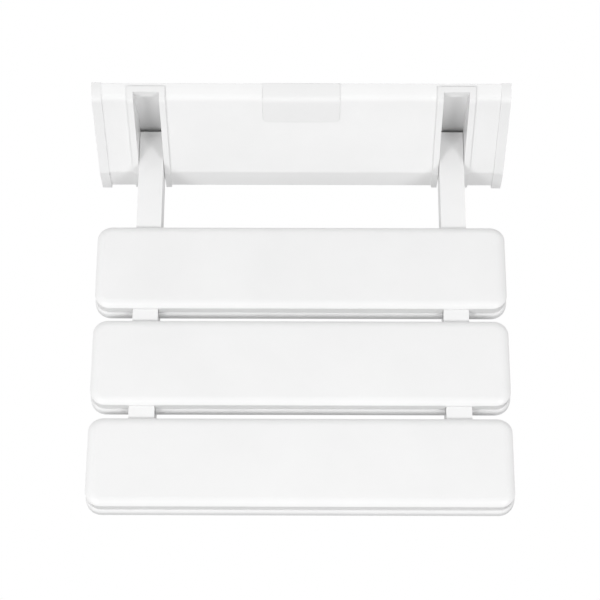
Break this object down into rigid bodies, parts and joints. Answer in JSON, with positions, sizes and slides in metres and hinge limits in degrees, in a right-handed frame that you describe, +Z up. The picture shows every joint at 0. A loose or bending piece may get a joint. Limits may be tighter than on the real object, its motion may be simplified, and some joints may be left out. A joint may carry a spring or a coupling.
{
  "type": "wall-mounted folding shower seat",
  "caption": "Folding shower seat for wall mounting: white slats on parallel arms that hinge up out of slots in a wedge-shaped wall housing with end caps.",
  "frame": {"origin": "centre of the four wall screw holes, on the wall's surface", "axes": "+X to the right as a person faces the wall, +Y into the wall, +Z up; the open seat reaches out along -Y"},
  "size_m": [0.325, 0.3252, 0.1181],
  "materials": {
    "slat_plastic": "white ABS, satin, very fine moulded grain",
    "slat_base_plastic": "white ABS, satin",
    "cap_plastic": "white ABS, satin",
    "frame_plastic": "white ABS, satin",
    "badge_plastic": "white ABS, slightly glossier than the housing",
    "plug_plastic": "white nylon",
    "nylon": "natural nylon",
    "coated_aluminium": "white powder coat over extruded aluminium",
    "coated_steel": "white powder coat over steel",
    "coated_arm": "white powder coat over steel tube",
    "zinc_steel": "zinc-plated steel",
    "stainless": "stainless steel",
    "spring_steel": "blackened spring steel",
    "pad_rubber": "black rubber"
  },
  "bodies": {
    "wall_unit": {"wall_plate": "coated_steel", "housing": "coated_aluminium", "end_cap_left": "cap_plastic", "end_cap_right": "cap_plastic", "end_cap_screws": "stainless", "cover_screws": "stainless", "badge_plate": "badge_plastic", "slot_frame_left": "frame_plastic", "slot_frame_right": "frame_plastic", "hinge_cheek_left_outer": "zinc_steel", "hinge_cheek_left_inner": "zinc_steel", "hinge_cheek_right_inner": "zinc_steel", "hinge_cheek_right_outer": "zinc_steel", "cheek_rivets": "stainless", "hinge_pin_left": "stainless", "hinge_pin_right": "stainless", "pin_clips": "spring_steel", "stop_pad_left": "pad_rubber", "stop_pad_right": "pad_rubber"},
    "seat": {"arm_left": "coated_arm", "arm_right": "coated_arm", "arm_bush_left": "nylon", "arm_bush_right": "nylon", "heel_plug_left": "plug_plastic", "heel_plug_right": "plug_plastic", "tip_plug_left": "plug_plastic", "tip_plug_right": "plug_plastic", "slat_1_top": "slat_plastic", "slat_2_top": "slat_plastic", "slat_3_top": "slat_plastic", "slat_1_base": "slat_base_plastic", "slat_2_base": "slat_base_plastic", "slat_3_base": "slat_base_plastic", "arm_screws": "stainless", "shell_screws": "stainless"}
  },
  "joints": [
    {"name": "seat_fold", "type": "hinge", "parent": "wall_unit", "child": "seat", "pos_m": [0, -0.0265, -0.0305], "axis": [-1, 0, 0], "range_deg": [0, 83.5]}
  ]
}
